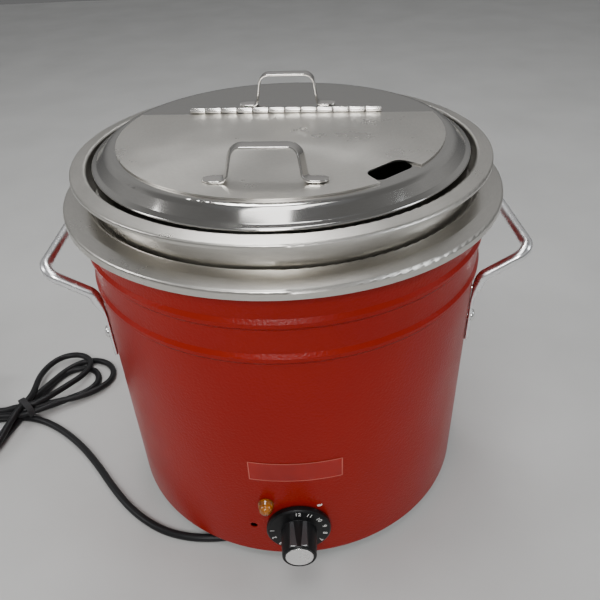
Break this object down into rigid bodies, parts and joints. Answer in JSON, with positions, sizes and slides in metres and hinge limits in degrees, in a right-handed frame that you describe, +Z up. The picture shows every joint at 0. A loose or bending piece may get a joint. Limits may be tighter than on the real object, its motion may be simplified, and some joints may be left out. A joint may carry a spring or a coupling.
{
  "type": "soup kettle",
  "caption": "Round electric soup kettle: painted drum, wet well, lift-out pot, lid with a hinged flap and ladle slot, side handles, control knob and mains lead.",
  "frame": {"origin": "on the drum's axis, on the surface that the rubber feet stand on", "axes": "+Z up along the drum's axis, the control knob faces -Y, the side handles lie on -X and +X"},
  "size_m": [0.5974, 0.3578, 0.3498],
  "materials": {
    "red_paint": "fine hammertone gloss paint",
    "brushed_stainless": "brushed",
    "polished_lid": "spun and polished",
    "bright_steel": "bright",
    "chrome_rod": "bright chrome",
    "rivet_steel": "polished",
    "knob_black": "satin moulded",
    "knob_silver": "spun satin",
    "amber_lens": "translucent",
    "label_red": "smooth",
    "zinc_steel": "zinc plated",
    "copper_tube": "drawn",
    "brass_stud": "turned",
    "aluminium_plate": "cast",
    "heater_steel": "heat darkened",
    "switch_plastic": "moulded",
    "ceramic_white": "glazed",
    "insulation": "glass fibre mat",
    "wire_insulation": "silicone",
    "foot_rubber": "moulded",
    "cord_black": "satin",
    "cord_tie_black": "woven",
    "plug_pin_metal": "nickel plated"
  },
  "bodies": {
    "housing": {"outer_shell": "red_paint", "water_well": "brushed_stainless", "side_handle_left": "chrome_rod", "side_handle_right": "chrome_rod", "handle_rivets_left": "rivet_steel", "handle_rivets_right": "rivet_steel", "pilot_lamp_lens": "amber_lens", "front_label": "label_red", "base_pan": "zinc_steel", "thermostat_screws": "zinc_steel", "tie_stud": "zinc_steel", "tie_nut": "zinc_steel", "tie_washer": "zinc_steel", "shield_spacer": "zinc_steel", "shield_nut": "zinc_steel", "heat_shield": "zinc_steel", "foot_screws": "zinc_steel", "foot_nuts": "zinc_steel", "cord_bracket": "zinc_steel", "element_clamps": "zinc_steel", "thermostat_bulb": "zinc_steel", "thermostat_capillary": "copper_tube", "earth_stud": "brass_stud", "spreader_plate": "aluminium_plate", "heating_element": "heater_steel", "thermostat_body": "switch_plastic", "pilot_lamp_body": "switch_plastic", "pilot_lamp_nut": "switch_plastic", "thermal_cutout": "switch_plastic", "terminal_block": "ceramic_white", "insulation_blanket": "insulation", "wiring": "wire_insulation", "foot_front_right": "foot_rubber", "foot_rear_right": "foot_rubber", "foot_rear_left": "foot_rubber", "foot_front_left": "foot_rubber", "cord_lead": "cord_black", "cord_tail": "cord_black", "cord_hank": "cord_black", "strain_relief": "cord_black", "plug_body": "cord_black", "cord_tie": "cord_tie_black", "plug_pins": "plug_pin_metal"},
    "pot": {"inset_pot": "brushed_stainless"},
    "lid": {"lid_cover": "polished_lid", "hinge_leaf_fixed": "bright_steel", "hinge_pin": "bright_steel", "lid_handle": "brushed_stainless"},
    "flap": {"lid_flap": "brushed_stainless", "hinge_leaf_moving": "bright_steel", "flap_handle": "brushed_stainless"},
    "knob": {"control_knob": "knob_black", "knob_cap": "knob_silver", "thermostat_shaft": "zinc_steel"}
  },
  "joints": [
    {"name": "pot_lift", "type": "slide", "parent": "housing", "child": "pot", "axis": [0, 0, 1], "range_m": [0, 0.22]},
    {"name": "lid_lift", "type": "slide", "parent": "pot", "child": "lid", "axis": [0, 0, 1], "range_m": [0, 0.12]},
    {"name": "flap_hinge", "type": "hinge", "parent": "lid", "child": "flap", "pos_m": [0.00371, 0.03782, 0.3262], "axis": [-0.9952, 0.0976, 0], "range_deg": [0, 115]},
    {"name": "knob_turn", "type": "hinge", "parent": "housing", "child": "knob", "pos_m": [0, -0.16, 0.05], "axis": [0, -1, 0], "range_deg": [-50, 250]}
  ]
}
